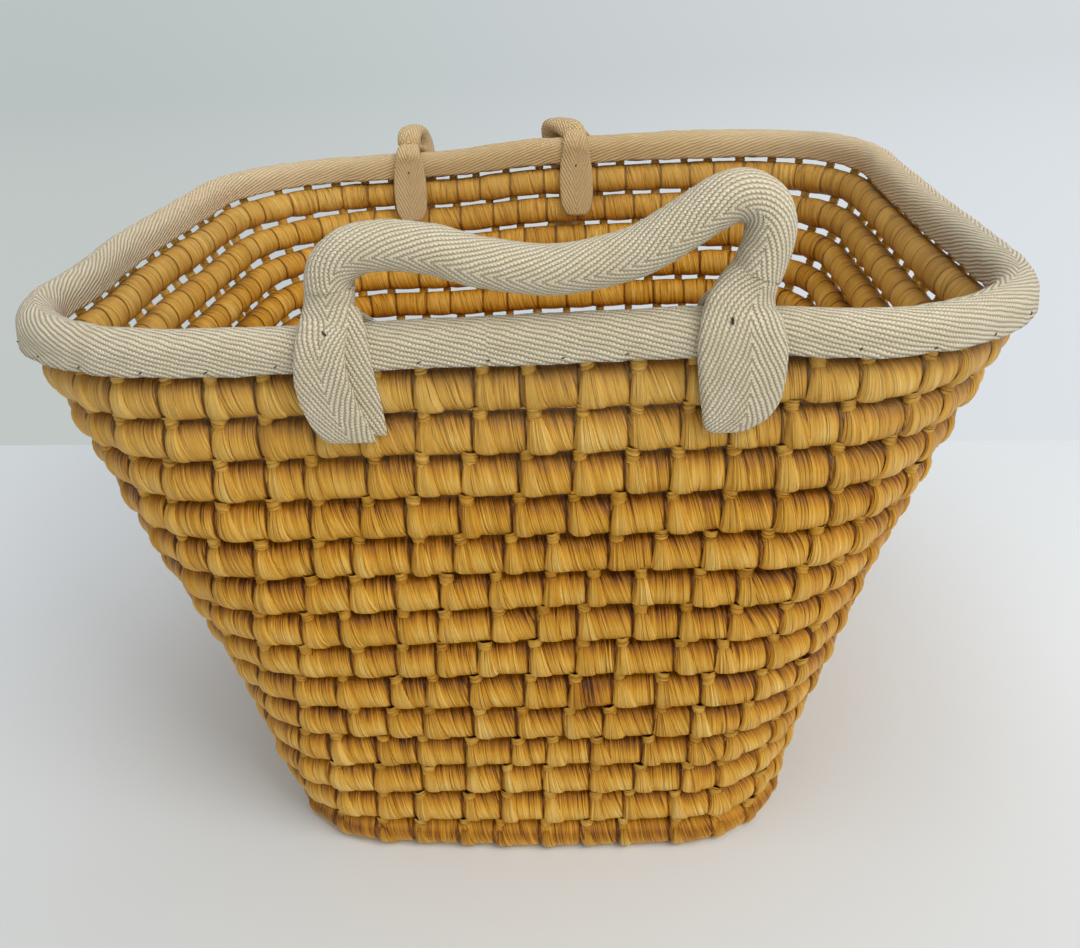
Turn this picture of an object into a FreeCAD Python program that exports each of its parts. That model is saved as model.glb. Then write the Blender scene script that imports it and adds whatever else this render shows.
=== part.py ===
import FreeCAD, Part
import math
import os

# Coiled market basket with a taped rim and two rolled cloth handles.
# Frame: origin at the centre of the base's underside, +Z up, +X along the longer side of the
# mouth, front wall on the -Y side.

Vec = FreeCAD.Vector
X_AXIS = Vec(1, 0, 0)
Y_AXIS = Vec(0, 1, 0)
Z_AXIS = Vec(0, 0, 1)

WALL_ROWS = 14
BASE_RINGS = 5

doc = FreeCAD.newDocument("market_basket")
sheet = doc.addObject("Spreadsheet::Sheet", "sizes")

# ---------------------------------------------------------------- driving dimensions (mm, degrees)

SIZES = [
    ("coil_radius", "6.7", "radius of a wrapped coil"),
    ("rim_top", "250", "height of the taped rim above the floor"),
    ("tape_clearance", "0.1", "between the rim coil and its tape"),
    ("tape_thickness", "1.1", "rim tape"),
    ("tape_skirt", "4", "how far the tape reaches below the rim coil's centre"),
    ("base_half_width", "108.1", "lowest wall row, centre line"),
    ("base_half_depth", "115.7", "lowest wall row, centre line"),
    ("base_corner", "43.5", "lowest wall row, corner radius"),
    ("base_inner_corner", "16", "innermost base ring, corner radius"),
    ("base_coil_height", "5.9", "centre of the base coils above the floor"),
    ("rim_half_width", "194.4", "rim coil, centre line"),
    ("rim_front_depth", "136.6", "rim coil, centre line in front of the base centre"),
    ("rim_back_depth", "212.1", "rim coil, centre line behind the base centre"),
    ("rim_front_corner", "80", "rim coil, front corner radius"),
    ("rim_back_corner", "72", "rim coil, back corner radius"),
    ("side_bow", "-0.45", "side walls: negative keeps them narrow until near the rim"),
    ("depth_bow", "0.6", "front and back walls: positive flares them out low down"),
    ("base_pitch", "16.8", "between neighbouring base rings"),
    ("stitch_radius", "2", "knotted stitch between two coils"),
    ("stitch_embed", "1.2", "how deep a stitch sits in each coil"),
    ("stitch_spacing", "18.3", "along a coil"),
    ("centre_gap", "3.4", "between the base centre and the ring around it"),
    ("centre_rounding", "5", "upper edge of the base centre"),
    ("sewing_spacing", "25", "between visible sewing stitches on the rim tape"),
    ("sewing_radius", "0.4", "sewing thread"),
    ("sewing_reach", "0.5", "how far a sewing stitch stands out of the tape"),
    ("sleeve_radius", "8.8", "rolled handle, outside"),
    ("sleeve_wall", "1.2", "rolled handle cloth"),
    ("core_clearance", "0.1", "between the cloth and the rope core"),
    ("sleeve_start", "10", "start of the rolled part from the hinge line"),
    ("hinge_offset", "10", "hinge line outward of the rim's centre line"),
    ("hinge_rise", "3", "hinge line above the rim"),
    ("neck_gap", "0.3", "between the rim and a neck"),
    ("neck_thickness", "5", "flattened cloth of a neck"),
    ("inner_neck_width", "20", "neck of the back handle"),
    ("leaf_thickness", "2.4", "flattened end of a handle"),
    ("outer_leaf_width", "27", "leaf on the outside of the rim"),
    ("inner_leaf_width", "20", "leaf on the inside of the rim"),
    ("leaf_drop", "41", "how far a leaf reaches below the rim"),
    ("leaf_top_drop", "3", "top of a leaf below the rim"),
    ("leaf_corner", "6", "lower corners of a leaf"),
    ("tack_depth", "19", "tack stitches below the rim"),
    ("tack_spread", "14", "between the two tack stitches of a leaf"),
    ("front_handle_left", "-50.5", "left end of the front handle"),
    ("front_handle_right", "84.5", "right end of the front handle"),
    ("back_handle_left", "-86", "left end of the back handle"),
    ("back_handle_right", "19.5", "right end of the back handle"),
    ("back_handle_drop", "27", "straight hanging part of the back handle"),
    ("back_handle_bend", "35", "bend radius of the back handle"),
]

next_line = 1


def add_size(alias, value, note=""):
    """One named line of the sheet; a value that starts with = is worked out from the others."""
    global next_line
    sheet.set("A%d" % next_line, note)
    sheet.set("B%d" % next_line, value)
    sheet.setAlias("B%d" % next_line, alias)
    next_line += 1


for alias, value, note in SIZES:
    add_size(alias, value, note)

add_size("tape_inner", "=coil_radius + tape_clearance")
add_size("tape_outer", "=tape_inner + tape_thickness")
add_size("rim_height", "=rim_top - tape_outer", "centre of the rim coil")
add_size("row_pitch", "=(rim_height - coil_radius) / %d" % WALL_ROWS, "between wall rows")
add_size("hinge_height", "=rim_top + hinge_rise")
add_size("front_hinge_y", "=-rim_front_depth - hinge_offset")
add_size("back_hinge_y", "=rim_back_depth + hinge_offset")


def row_name(number):
    return "row_%02d" % number


def ring_name(number):
    return "ring_%d" % number


# Every closed coil has the same outline: straight sides joined by round corners.
for number in range(1, WALL_ROWS + 2):
    row = row_name(number)
    add_size(row + "_height", "=coil_radius + %d * row_pitch" % (number - 1))
    add_size(row + "_share", "=(%s_height - coil_radius) / (rim_height - coil_radius)" % row)
    add_size(row + "_side_share", "=%s_share + side_bow * %s_share * (1 - %s_share)" % (row, row, row))
    add_size(row + "_depth_share", "=%s_share + depth_bow * %s_share * (1 - %s_share)" % (row, row, row))
    add_size(row + "_half_width",
             "=base_half_width + (rim_half_width - base_half_width) * %s_side_share" % row)
    add_size(row + "_front",
             "=base_half_depth + (rim_front_depth - base_half_depth) * %s_depth_share" % row)
    add_size(row + "_back",
             "=base_half_depth + (rim_back_depth - base_half_depth) * %s_depth_share" % row)
    add_size(row + "_front_corner", "=base_corner + (rim_front_corner - base_corner) * %s_share" % row)
    add_size(row + "_back_corner", "=base_corner + (rim_back_corner - base_corner) * %s_share" % row)

for number in range(1, BASE_RINGS + 1):
    ring = ring_name(number)
    add_size(ring + "_height", "=base_coil_height")
    add_size(ring + "_half_width", "=base_half_width - %d * base_pitch" % number)
    add_size(ring + "_front", "=base_half_depth - %d * base_pitch" % number)
    add_size(ring + "_back", "=base_half_depth - %d * base_pitch" % number)
    corner = "=base_corner + (base_inner_corner - base_corner) * %d / %d" % (number, BASE_RINGS)
    add_size(ring + "_front_corner", corner)
    add_size(ring + "_back_corner", corner)

doc.recompute()


def size(alias):
    """The present value of a named size."""
    return float(sheet.get(alias))


# ---------------------------------------------------------------- helpers

parts = []


def keep(item, label):
    """Mark a finished sub-part for export under its own name."""
    item.Label = label
    parts.append(item)
    return item


def bind(item, **expressions):
    """Tie properties of a primitive to the sheet."""
    for name, expression in expressions.items():
        item.setExpression(name, expression)


def place(item, x, y, z, rotation=None):
    """Tie a primitive's position to the sheet; the rotation is fixed."""
    if rotation is not None:
        item.Placement = FreeCAD.Placement(Vec(0, 0, 0), rotation)
    item.setExpression("Placement.Base.x", x)
    item.setExpression("Placement.Base.y", y)
    item.setExpression("Placement.Base.z", z)


def primitive(kind, label):
    item = doc.addObject(kind, label)
    item.Label = label
    return item


def fused(label, pieces):
    item = primitive("Part::MultiFuse", label)
    item.Shapes = pieces
    return item


def feature(label, shape):
    item = primitive("Part::Feature", label)
    item.Shape = shape
    return item


ALONG_Y = FreeCAD.Rotation(X_AXIS, -90)
ALONG_X = FreeCAD.Rotation(Y_AXIS, 90)


def closed_coil(label, sizes):
    """A round coil bent into a closed outline: four straight lengths and four quarter bends."""
    prefix = "sizes." + sizes
    width = prefix + "_half_width"
    height = prefix + "_height"
    pieces = []
    corners = [("back_right", 1, 0), ("back_left", -1, 90), ("front_left", -1, 180), ("front_right", 1, 270)]
    for where, side, turn in corners:
        end = where.split("_")[0]
        corner = "%s_%s_corner" % (prefix, end)
        depth = "(%s_%s - %s)" % (prefix, end, corner)
        bend = primitive("Part::Torus", "%s_bend_%s" % (label, where))
        bend.Angle3 = 90
        bind(bend, Radius1=corner, Radius2="sizes.coil_radius")
        place(bend, "%d * (%s - %s)" % (side, width, corner), ("" if end == "back" else "-") + depth,
              height, FreeCAD.Rotation(Z_AXIS, turn))
        pieces.append(bend)
    for where, side in (("left", -1), ("right", 1)):
        length = primitive("Part::Cylinder", "%s_%s" % (label, where))
        bind(length, Radius="sizes.coil_radius",
             Height="{0}_front - {0}_front_corner + {0}_back - {0}_back_corner".format(prefix))
        place(length, "%d * %s" % (side, width), "-(%s_front - %s_front_corner)" % (prefix, prefix),
              height, ALONG_Y)
        pieces.append(length)
    for end, side in (("front", -1), ("back", 1)):
        length = primitive("Part::Cylinder", "%s_%s" % (label, end))
        bind(length, Radius="sizes.coil_radius", Height="2 * (%s - %s_%s_corner)" % (width, prefix, end))
        place(length, "-(%s - %s_%s_corner)" % (width, prefix, end), "%d * %s_%s" % (side, prefix, end),
              height, ALONG_X)
        pieces.append(length)
    return fused(label, pieces)


def outline(sizes, offset=0.0):
    """The straight and bent stretches of a closed coil, in order, for walking along it."""
    width = size(sizes + "_half_width")
    front = size(sizes + "_front")
    back = size(sizes + "_back")
    front_corner = size(sizes + "_front_corner")
    back_corner = size(sizes + "_back_corner")
    fx, fy = width - front_corner, front - front_corner
    bx, by = width - back_corner, back - back_corner
    return [
        ("line", Vec(-fx, -front, 0), Vec(fx, -front, 0)),
        ("bend", Vec(fx, -fy, 0), front_corner, -90),
        ("line", Vec(width, -fy, 0), Vec(width, by, 0)),
        ("bend", Vec(bx, by, 0), back_corner, 0),
        ("line", Vec(bx, back, 0), Vec(-bx, back, 0)),
        ("bend", Vec(-bx, by, 0), back_corner, 90),
        ("line", Vec(-width, by, 0), Vec(-width, -fy, 0)),
        ("bend", Vec(-fx, -fy, 0), front_corner, 180),
    ]


def stretch_length(stretch):
    if stretch[0] == "line":
        return (stretch[2] - stretch[1]).Length
    return stretch[2] * math.pi / 2


def walk(stretches, distance):
    """Point and outward direction at a distance along an outline."""
    for stretch in stretches:
        length = stretch_length(stretch)
        if distance > length:
            distance -= length
            continue
        if stretch[0] == "line":
            way = (stretch[2] - stretch[1]).normalize()
            return stretch[1] + way * distance, Vec(way.y, -way.x, 0)
        angle = math.radians(stretch[3]) + distance / stretch[2]
        outward = Vec(math.cos(angle), math.sin(angle), 0)
        return stretch[1] + outward * stretch[2], outward
    return walk(stretches, 0.0)


def evenly_along(stretches, spacing, phase=0.0):
    """Points and outward directions spread evenly over a whole outline."""
    total = sum(stretch_length(stretch) for stretch in stretches)
    count = round(total / spacing)
    return [walk(stretches, total * (step + phase) / count) for step in range(count)]


def swept_outline(stretches, section, height):
    """A section, drawn outward along +X from the origin and upright along +Z, carried round an outline."""
    pieces = []
    for stretch in stretches:
        start, outward = walk([stretch], 0.0)
        turn = math.degrees(math.atan2(outward.y, outward.x))
        face = section.copy()
        face.rotate(Vec(0, 0, 0), Z_AXIS, turn)
        face.translate(start + Z_AXIS * height)
        if stretch[0] == "line":
            pieces.append(face.extrude(stretch[2] - stretch[1]))
        else:
            pieces.append(face.revolve(stretch[1] + Z_AXIS * height, Z_AXIS, 90))
    return pieces[0].fuse(pieces[1:])


def stitches_between(lower, upper, phase):
    """Short knotted stitches that tie one coil to the next."""
    lower_walk = outline(lower)
    upper_walk = outline(upper)
    middle = [size(name + "_height") for name in (lower, upper)]
    pieces = []
    for point, outward in evenly_along(lower_walk, size("stitch_spacing"), phase):
        # the facing point of the other coil lies along the outward direction
        other = nearest_along(upper_walk, point, outward)
        start = point + Z_AXIS * middle[0]
        end = other + Z_AXIS * middle[1]
        way = (end - start).normalize()
        length = (end - start).Length - 2 * size("coil_radius") + 2 * size("stitch_embed")
        base = start + way * (size("coil_radius") - size("stitch_embed"))
        pieces.append(Part.makeCylinder(size("stitch_radius"), length, base, way))
    return pieces


def nearest_along(stretches, point, outward):
    """Where a line from a point, along its outward direction, meets an outline."""
    reach = size("rim_half_width") * 2
    probe = Part.makeLine(point - outward * size("base_pitch") * 2, point + outward * size("base_pitch") * 2)
    best = None
    for stretch in stretches:
        if stretch[0] == "line":
            edge = Part.makeLine(stretch[1], stretch[2])
        else:
            edge = Part.makeCircle(stretch[2], stretch[1], Z_AXIS, stretch[3], stretch[3] + 90)
        gap, pairs, _ = edge.distToShape(probe)
        if best is None or gap < reach:
            reach = gap
            best = pairs[0][0]
    return best


# ---------------------------------------------------------------- wall rows and base rings

for number in range(1, WALL_ROWS + 1):
    label = "coil_row_%02d" % number
    keep(closed_coil(label, row_name(number)), label)
keep(closed_coil("rim_coil", row_name(WALL_ROWS + 1)), "rim_coil")

# The base coils are pressed flat where they rest on the floor.
floor_block = primitive("Part::Box", "floor_block")
bind(floor_block, Length="2 * sizes.base_half_width", Width="2 * sizes.base_half_depth",
     Height="sizes.coil_radius")
place(floor_block, "-sizes.base_half_width", "-sizes.base_half_depth", "-sizes.coil_radius")

for number in range(1, BASE_RINGS + 1):
    round_ring = closed_coil("base_ring_%d_round" % number, ring_name(number))
    flat_ring = primitive("Part::Cut", "base_ring_%d" % number)
    flat_ring.Base = round_ring
    flat_ring.Tool = floor_block
    keep(flat_ring, "base_ring_%d" % number)

# The coil starts at the centre, doubled back on itself.
centre_block = primitive("Part::Box", "base_centre_block")
inner_ring = "sizes." + ring_name(BASE_RINGS)
bind(centre_block,
     Length="2 * (%s_half_width - sizes.coil_radius - sizes.centre_gap)" % inner_ring,
     Width="2 * (%s_front - sizes.coil_radius - sizes.centre_gap)" % inner_ring,
     Height="sizes.base_coil_height + sizes.coil_radius")
place(centre_block, "-(%s_half_width - sizes.coil_radius - sizes.centre_gap)" % inner_ring,
      "-(%s_front - sizes.coil_radius - sizes.centre_gap)" % inner_ring, "0")
doc.recompute()
centre_corner = centre_block.Length.Value / 2 - 0.5
centre_edges = []
for index, edge in enumerate(centre_block.Shape.Edges, 1):
    ends = [vertex.Point for vertex in edge.Vertexes]
    if abs(ends[0].z - ends[1].z) > 1:
        centre_edges.append((index, centre_corner, centre_corner))
centre_upright = primitive("Part::Fillet", "base_centre_upright")
centre_upright.Base = centre_block
centre_upright.Edges = centre_edges
doc.recompute()
top = centre_block.Height.Value
top_edges = []
for index, edge in enumerate(centre_upright.Shape.Edges, 1):
    if min(vertex.Point.z for vertex in edge.Vertexes) > top - 1e-6:
        top_edges.append((index, size("centre_rounding"), size("centre_rounding")))
base_centre = primitive("Part::Fillet", "base_centre_coil")
base_centre.Base = centre_upright
base_centre.Edges = top_edges
keep(base_centre, "base_centre_coil")

# ---------------------------------------------------------------- stitches between the coils

for number in range(1, WALL_ROWS + 1):
    label = "stitches_row_%02d" % number
    pieces = stitches_between(row_name(number), row_name(number + 1), 0.5 * (number % 2))
    keep(feature(label, Part.makeCompound(pieces)), label)

base_stitches = []
chain = [ring_name(number) for number in range(BASE_RINGS, 0, -1)] + [row_name(1)]
for step in range(len(chain) - 1):
    base_stitches += stitches_between(chain[step], chain[step + 1], 0.5 * (step % 2))
for point, outward in evenly_along(outline(chain[0]), size("stitch_spacing"), 0.5):
    # the innermost ring is tied inward to the base centre
    start = point - outward * (size("coil_radius") - size("stitch_embed")) + Z_AXIS * size("base_coil_height")
    length = size("centre_gap") + 2 * size("stitch_embed")
    base_stitches.append(Part.makeCylinder(size("stitch_radius"), length, start, outward * -1))
keep(feature("base_stitches", Part.makeCompound(base_stitches)), "base_stitches")

# ---------------------------------------------------------------- rim tape and its sewing

inner = size("tape_inner")
outer = size("tape_outer")
skirt = size("tape_skirt")
tape_section = Part.Face(Part.Wire([
    Part.makeLine(Vec(outer, 0, -skirt), Vec(outer, 0, 0)),
    Part.Arc(Vec(outer, 0, 0), Vec(0, 0, outer), Vec(-outer, 0, 0)).toShape(),
    Part.makeLine(Vec(-outer, 0, 0), Vec(-outer, 0, -skirt)),
    Part.makeLine(Vec(-outer, 0, -skirt), Vec(-inner, 0, -skirt)),
    Part.makeLine(Vec(-inner, 0, -skirt), Vec(-inner, 0, 0)),
    Part.Arc(Vec(-inner, 0, 0), Vec(0, 0, inner), Vec(inner, 0, 0)).toShape(),
    Part.makeLine(Vec(inner, 0, 0), Vec(inner, 0, -skirt)),
    Part.makeLine(Vec(inner, 0, -skirt), Vec(outer, 0, -skirt)),
]))
rim_walk = outline(row_name(WALL_ROWS + 1))
rim_height = size("rim_height")
keep(feature("rim_tape", swept_outline(rim_walk, tape_section, rim_height)), "rim_tape")



def under_a_leaf(point):
    """Whether a handle's leaf covers this place on the rim."""
    handle = "front_handle" if point.y < 0 else "back_handle"
    reach = size("outer_leaf_width") / 2 + 2 * size("sewing_radius")
    return min(abs(point.x - size(handle + "_left")), abs(point.x - size(handle + "_right"))) < reach


sewing = []
sewing_length = size("tape_thickness") + size("sewing_reach")
for point, outward in evenly_along(rim_walk, size("sewing_spacing"), 0.5):
    if under_a_leaf(point):
        continue
    start = point + outward * inner + Z_AXIS * (rim_height - skirt + 1.5)
    sewing.append(Part.makeCylinder(size("sewing_radius"), sewing_length, start, outward))
keep(feature("rim_sewing_thread", Part.makeCompound(sewing)), "rim_sewing_thread")

# ---------------------------------------------------------------- handles


class Path:
    """A centre line in an upright plane, drawn as straight lengths and bends, carrying a section."""

    def __init__(self, x, y, z, heading):
        self.at = Vec(x, y, z)
        self.heading = heading
        self.pieces = []

    def way(self):
        angle = math.radians(self.heading)
        return Vec(math.cos(angle), 0, math.sin(angle))

    def ring(self, outer_radius, inner_radius):
        """The tube's section here; a solid disc if the inner radius is zero."""
        face = Part.Face(Part.Wire(Part.makeCircle(outer_radius, self.at, self.way())))
        if inner_radius > 0:
            face = face.cut(Part.Face(Part.Wire(Part.makeCircle(inner_radius, self.at, self.way()))))
            face = face.Faces[0]
        return face

    def line(self, length):
        step = self.way() * length
        self.pieces.append(("line", self.at, self.heading, step))
        self.at = self.at + step

    def bend(self, radius, turn):
        """Turn left for a positive angle, right for a negative one."""
        side = 1 if turn > 0 else -1
        way = self.way()
        left = Vec(-way.z, 0, way.x)
        centre = self.at + left * radius * side
        self.pieces.append(("bend", self.at, self.heading, centre, turn))
        spoke = self.at - centre
        self.at = centre + FreeCAD.Rotation(Y_AXIS, -turn).multVec(spoke)
        self.heading += turn

    def tube(self, outer_radius, inner_radius=0.0):
        solids = []
        for piece in self.pieces:
            marker = Path(piece[1].x, piece[1].y, piece[1].z, piece[2])
            face = marker.ring(outer_radius, inner_radius)
            if piece[0] == "line":
                solids.append(face.extrude(piece[3]))
            else:
                solids.append(face.revolve(piece[3], Y_AXIS, -piece[4]))
        return solids[0].fuse(solids[1:])


sleeve_inner = size("sleeve_radius") - size("sleeve_wall")
core_radius = sleeve_inner - size("core_clearance")
hinge_height = size("hinge_height")
start_height = hinge_height + size("sleeve_start")

# Front handle: stands up over the rim in a slack wave, higher at its right end.
front_y = -size("rim_front_depth")
front_path = Path(size("front_handle_left"), front_y, start_height, 90)
front_path.line(1.7)
front_path.bend(14, -105.9)
front_path.line(40.5)
front_path.bend(29.5, 15.9)
front_path.line(17.2)
front_path.bend(41, 51.8)
front_path.line(2.9)
front_path.bend(10.5, -51.8)
front_path.bend(10.5, -90)
front_path.line(front_path.at.z - start_height)
front_shift = size("front_handle_right") - front_path.at.x

# Back handle: hangs down outside the back wall.
back_y = size("rim_back_depth") + 2 * size("hinge_offset")
hang_height = hinge_height - size("sleeve_start")
back_span = size("back_handle_right") - size("back_handle_left")
back_path = Path(size("back_handle_left"), back_y, hang_height, -90)
back_path.line(size("back_handle_drop"))
back_path.bend(size("back_handle_bend"), 90)
back_path.line(back_span - 2 * size("back_handle_bend"))
back_path.bend(size("back_handle_bend"), 90)
back_path.line(size("back_handle_drop"))

for name, path in (("front_handle", front_path), ("back_handle", back_path)):
    keep(feature(name + "_sleeve", path.tube(size("sleeve_radius"), sleeve_inner)), name + "_sleeve")
    keep(feature(name + "_rope_core", path.tube(core_radius)), name + "_rope_core")


def front_neck(x):
    """Cloth that rises from between the leaves and closes round the rope."""
    low = size("rim_top") + size("neck_gap")
    flat = Part.Ellipse(Vec(0, 0, 0), size("outer_leaf_width") / 2, size("neck_thickness") / 2).toShape()
    flat.translate(Vec(x, front_y, low))
    full = Part.makeCircle(size("sleeve_radius"), Vec(x, front_y, start_height), Z_AXIS)
    return Part.makeLoft([Part.Wire(flat), Part.Wire(full)], True, True)


def back_neck(x):
    """Cloth that arches outward over the rim down to the hanging handle."""
    width = size("inner_neck_width")
    thick = size("neck_thickness")
    low = size("rim_top") + size("neck_gap")
    rim_y = size("rim_back_depth")
    rise = Part.makeBox(width, thick, hinge_height - low, Vec(x - width / 2, rim_y - thick / 2, low))
    face = Part.makePlane(width, thick, Vec(x - width / 2, rim_y - thick / 2, hinge_height), Z_AXIS)
    arch = face.revolve(Vec(x, size("back_hinge_y"), hinge_height), X_AXIS, -180)
    fall = Part.makeBox(width, thick, size("sleeve_start"), Vec(x - width / 2, back_y - thick / 2, hang_height))
    return rise.fuse([arch, fall])


def lean_of(end):
    """How far the wall under the rim leans from upright at the front or back, in degrees."""
    rim_row = row_name(WALL_ROWS + 1)
    low_row = row_name(WALL_ROWS - 2)
    run = size("%s_%s" % (rim_row, end)) - size("%s_%s" % (low_row, end))
    return math.degrees(math.atan2(run, 3 * size("row_pitch")))


def leaf(label, x, width, y, hinge_y, lean):
    """A flattened handle end on one face of the rim, its low side at y, turned about its top edge at hinge_y."""
    half = size(width) / 2
    corner = size("leaf_corner")
    high = size("rim_top") - size("leaf_top_drop")
    low = size("rim_top") - size("leaf_drop")
    left, right = x - half, x + half
    slant = corner * math.sqrt(0.5)
    shape = Part.Face(Part.Wire([
        Part.makeLine(Vec(left, y, high), Vec(right, y, high)),
        Part.makeLine(Vec(right, y, high), Vec(right, y, low + corner)),
        Part.Arc(Vec(right, y, low + corner), Vec(right - corner + slant, y, low + corner - slant),
                 Vec(right - corner, y, low)).toShape(),
        Part.makeLine(Vec(right - corner, y, low), Vec(left + corner, y, low)),
        Part.Arc(Vec(left + corner, y, low), Vec(left + corner - slant, y, low + corner - slant),
                 Vec(left, y, low + corner)).toShape(),
        Part.makeLine(Vec(left, y, low + corner), Vec(left, y, high)),
    ])).extrude(Y_AXIS * size("leaf_thickness"))
    shape.rotate(Vec(x, hinge_y, high), X_AXIS, lean)
    return keep(feature(label, shape), label)


def tacks(x, y, reach):
    """Two sewing stitches through one leaf."""
    height = size("rim_top") - size("tack_depth")
    spread = size("tack_spread") / 2
    return [Part.makeCylinder(size("sewing_radius"), reach, Vec(x + shift, y, height), Y_AXIS)
            for shift in (-spread, spread)]


leaf_thickness = size("leaf_thickness")
tack_reach = leaf_thickness + 2 * size("sewing_reach")
ends = {
    "front_handle": (front_y, -1, size("front_handle_left"), size("front_handle_right")),
    "back_handle": (size("rim_back_depth"), 1, size("back_handle_left"), size("back_handle_right")),
}
for name, (rim_y, outward, left_x, right_x) in ends.items():
    thread = []
    for side, x in (("left", left_x), ("right", right_x)):
        neck_shape = front_neck(x) if name == "front_handle" else back_neck(x)
        keep(feature("%s_neck_%s" % (name, side), neck_shape), "%s_neck_%s" % (name, side))
        faces = (("outer", outward, "outer_leaf_width"), ("inner", -outward, "inner_leaf_width"))
        for face, way, width in faces:
            near = rim_y + way * outer
            low_y = near if way > 0 else near - leaf_thickness
            # the outer leaf hangs straight down; the inner one follows the wall
            lean = way * lean_of(name.split("_")[0]) if face == "inner" else 0.0
            leaf("%s_%s_leaf_%s" % (name, face, side), x, width, low_y, near, lean)
            shift = math.tan(math.radians(lean)) * (size("tack_depth") - size("leaf_top_drop"))
            thread += tacks(x, low_y + shift - size("sewing_reach"), tack_reach)
    keep(feature(name + "_tack_thread", Part.makeCompound(thread)), name + "_tack_thread")

# ---------------------------------------------------------------- check and write

doc.recompute()
for item in doc.Objects:
    if "Invalid" in item.State or "Error" in item.State:
        raise RuntimeError("%s did not recompute: %s" % (item.Label, item.State))
os.makedirs("parts", exist_ok=True)
for item in parts:
    shape = item.Shape
    if shape.isNull() or not shape.isValid() or shape.Volume <= 0:
        raise RuntimeError("%s has no sound shape" % item.Label)
    shape.exportStep("parts/%s.step" % item.Label)
    print("%-28s solids %3d  volume %9.1f" % (item.Label, len(shape.Solids), shape.Volume))
print(len(parts), "parts; front handle ends", round(front_shift, 2), "from its right leaf")
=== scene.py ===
import math
import random

import bpy
from mathutils import Matrix, Vector, noise


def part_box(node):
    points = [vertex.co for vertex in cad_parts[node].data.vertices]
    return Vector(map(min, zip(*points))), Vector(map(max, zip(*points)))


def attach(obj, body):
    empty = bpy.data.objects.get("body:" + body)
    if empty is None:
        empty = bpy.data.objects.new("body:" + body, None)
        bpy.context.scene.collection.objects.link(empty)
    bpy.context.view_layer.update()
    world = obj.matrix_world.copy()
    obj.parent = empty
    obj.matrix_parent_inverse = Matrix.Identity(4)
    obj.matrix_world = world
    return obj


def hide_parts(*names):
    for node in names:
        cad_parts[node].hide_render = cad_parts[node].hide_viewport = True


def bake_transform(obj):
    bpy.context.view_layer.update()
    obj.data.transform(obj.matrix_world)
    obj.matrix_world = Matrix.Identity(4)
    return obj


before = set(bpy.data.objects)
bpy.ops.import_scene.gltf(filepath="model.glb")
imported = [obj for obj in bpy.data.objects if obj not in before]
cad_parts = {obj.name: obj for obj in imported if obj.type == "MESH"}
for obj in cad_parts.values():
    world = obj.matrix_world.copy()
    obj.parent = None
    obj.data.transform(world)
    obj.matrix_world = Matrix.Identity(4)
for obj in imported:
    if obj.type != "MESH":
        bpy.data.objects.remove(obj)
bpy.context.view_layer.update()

MM = 0.001

# ------------------------------------------------------------------ the basket's own sizes

COIL_RADIUS = 6.7 * MM
WALL_ROWS = 14
BASE_RINGS = 5
STITCH_SPACING = 18.3 * MM
BASE_CORNER = 43.5 * MM
BASE_INNER_CORNER = 16 * MM
RIM_FRONT_CORNER = 80 * MM
RIM_BACK_CORNER = 72 * MM
RIM_TOP = 250 * MM

UP = Vector((0, 0, 1))


def clear_selection():
    bpy.ops.object.select_all(action="DESELECT")


clear_selection()


def merge_seams(reach):
    """Joins vertices closer than this on the active mesh and turns its faces outward."""
    bpy.ops.object.mode_set(mode="EDIT")
    bpy.ops.mesh.select_all(action="SELECT")
    bpy.ops.mesh.remove_doubles(threshold=reach)
    bpy.ops.mesh.normals_make_consistent(inside=False)
    bpy.ops.object.mode_set(mode="OBJECT")


# ------------------------------------------------------------------ shader expressions

class Sock:
    """A shader value that can be used in a sum like a number."""

    def __init__(self, tree, socket):
        self.tree = tree
        self.socket = socket

    def maths(self, operation, *values):
        return make(self.tree, "ShaderNodeMath", {"operation": operation}, dict(enumerate(values)))

    def __add__(self, other):
        return self.maths("ADD", self, other)

    __radd__ = __add__

    def __sub__(self, other):
        return self.maths("SUBTRACT", self, other)

    def __rsub__(self, other):
        return self.maths("SUBTRACT", other, self)

    def __mul__(self, other):
        return self.maths("MULTIPLY", self, other)

    __rmul__ = __mul__

    def __truediv__(self, other):
        return self.maths("DIVIDE", self, other)

    def __pow__(self, other):
        return self.maths("POWER", self, other)

    def part(self, name):
        """Another output of the same node."""
        return Sock(self.tree, self.socket.node.outputs[name])


def make(tree, kind, settings=None, inputs=None, output=0):
    """One shader node: its settings first, then the values or links of its sockets."""
    node = tree.nodes.new(kind)
    for key, value in (settings or {}).items():
        if key == "stops":
            ramp = node.color_ramp
            while len(ramp.elements) < len(value):
                ramp.elements.new(0.5)
            for element, (place, colour) in zip(ramp.elements, value):
                element.position = place
                element.color = (*colour, 1)
        else:
            setattr(node, key, value)
    for key, value in (inputs or {}).items():
        socket = node.inputs[key]
        if isinstance(value, Sock):
            tree.links.new(value.socket, socket)
        else:
            socket.default_value = value
    return Sock(tree, node.outputs[output])


def new_material(name):
    material = bpy.data.materials.new(name)
    material.use_nodes = True
    tree = material.node_tree
    shader = next(node for node in tree.nodes if node.type == "BSDF_PRINCIPLED")
    return material, tree, shader


def feed(tree, shader, name, value):
    tree.links.new(value.socket, shader.inputs[name])


def blend_colour(tree, share, first, second, how="MIX"):
    return make(tree, "ShaderNodeMix", {"data_type": "RGBA", "blend_type": how},
                {0: share, 6: first if isinstance(first, Sock) else (*first, 1),
                 7: second if isinstance(second, Sock) else (*second, 1)}, output=2)


def clamp01(value):
    return value.maths("MINIMUM", value.maths("MAXIMUM", value, 0.0), 1.0)


def smooth(value, low, high):
    return make(value.tree, "ShaderNodeMapRange", {"interpolation_type": "SMOOTHSTEP"},
                {"Value": value, "From Min": low, "From Max": high})


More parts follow.
